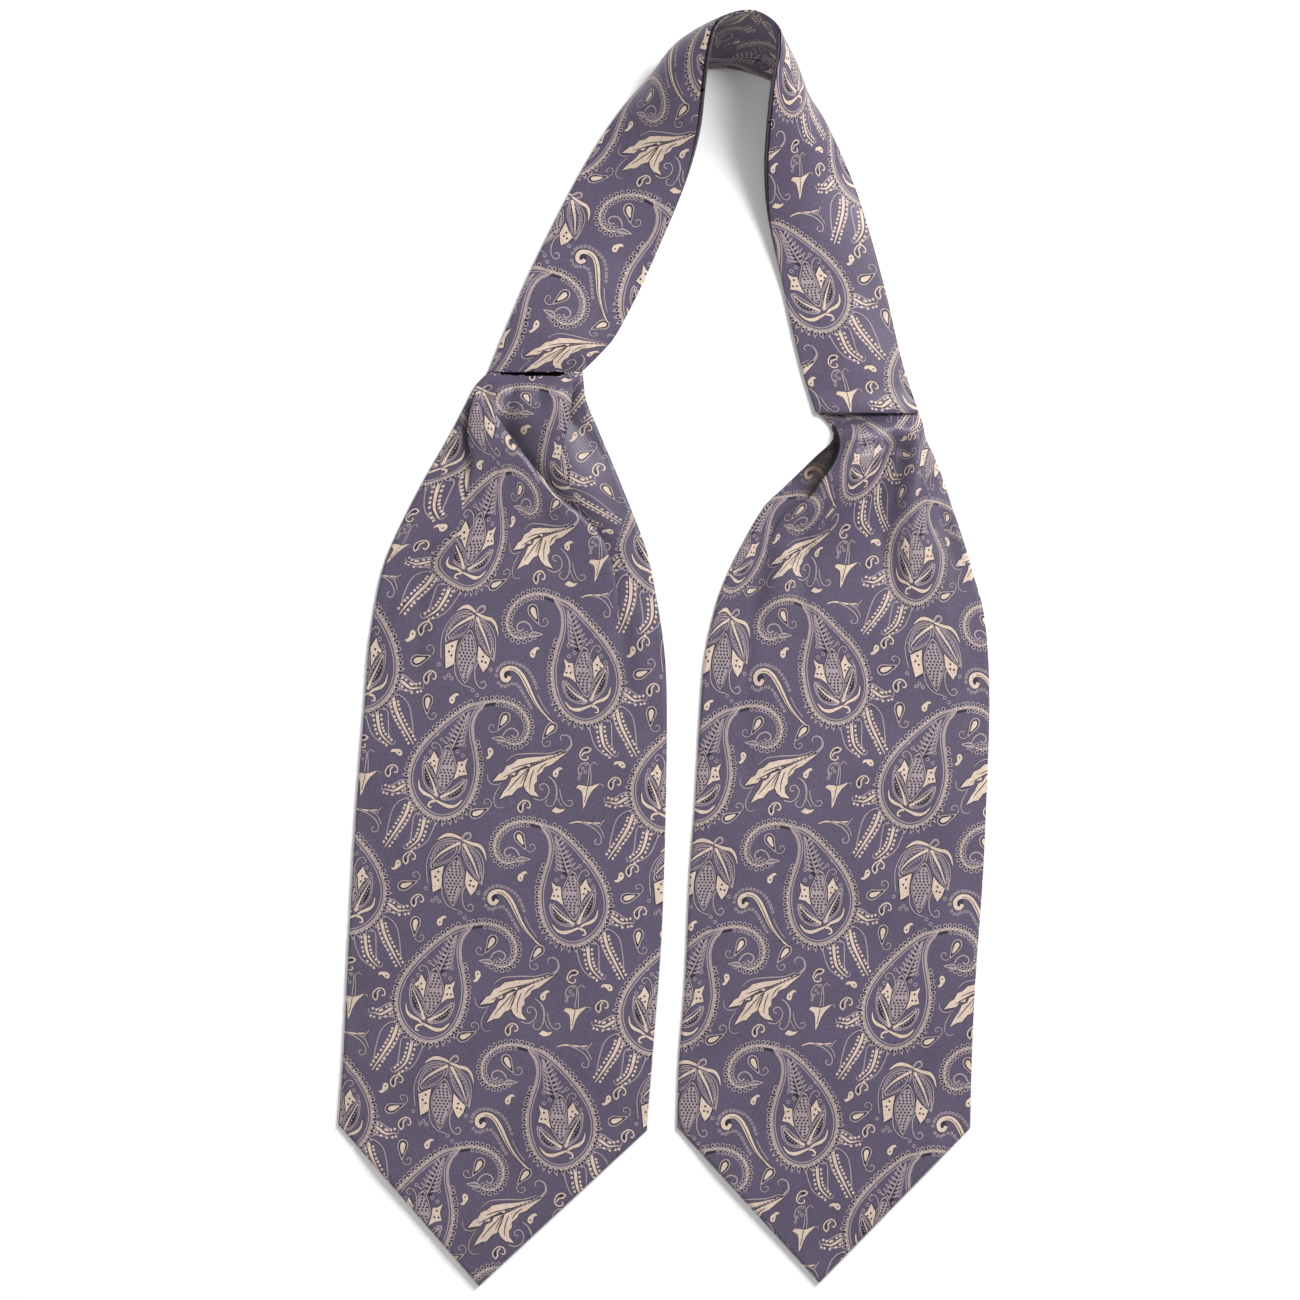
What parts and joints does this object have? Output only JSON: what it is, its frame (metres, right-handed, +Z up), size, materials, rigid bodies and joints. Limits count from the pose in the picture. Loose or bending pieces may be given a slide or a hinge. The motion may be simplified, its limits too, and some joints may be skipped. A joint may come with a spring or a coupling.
{
  "type": "silk cravat",
  "caption": "Ready-made silk day cravat laid flat in an upside-down U: two wide pointed blades pleated into a narrow folded neckband.",
  "frame": {"origin": "middle of the bounding box, on the surface the cravat lies on", "axes": "+Z up from the surface; +Y from the pointed ends to the top of the neckband; +X to the right blade, seen from above"},
  "size_m": [0.3256, 0.6328, 0.0472],
  "materials": {
    "paisley_silk": "satin-ground jacquard silk, slate purple with cream figures"
  },
  "bodies": {
    "root": {"blade_left_front": "paisley_silk", "blade_left_back": "paisley_silk", "blade_right_front": "paisley_silk", "blade_right_back": "paisley_silk", "band_left_outer": "paisley_silk", "band_left_inner": "paisley_silk", "band_neck_outer": "paisley_silk", "band_neck_inner": "paisley_silk", "band_right_outer": "paisley_silk", "band_right_inner": "paisley_silk"}
  },
  "joints": []
}
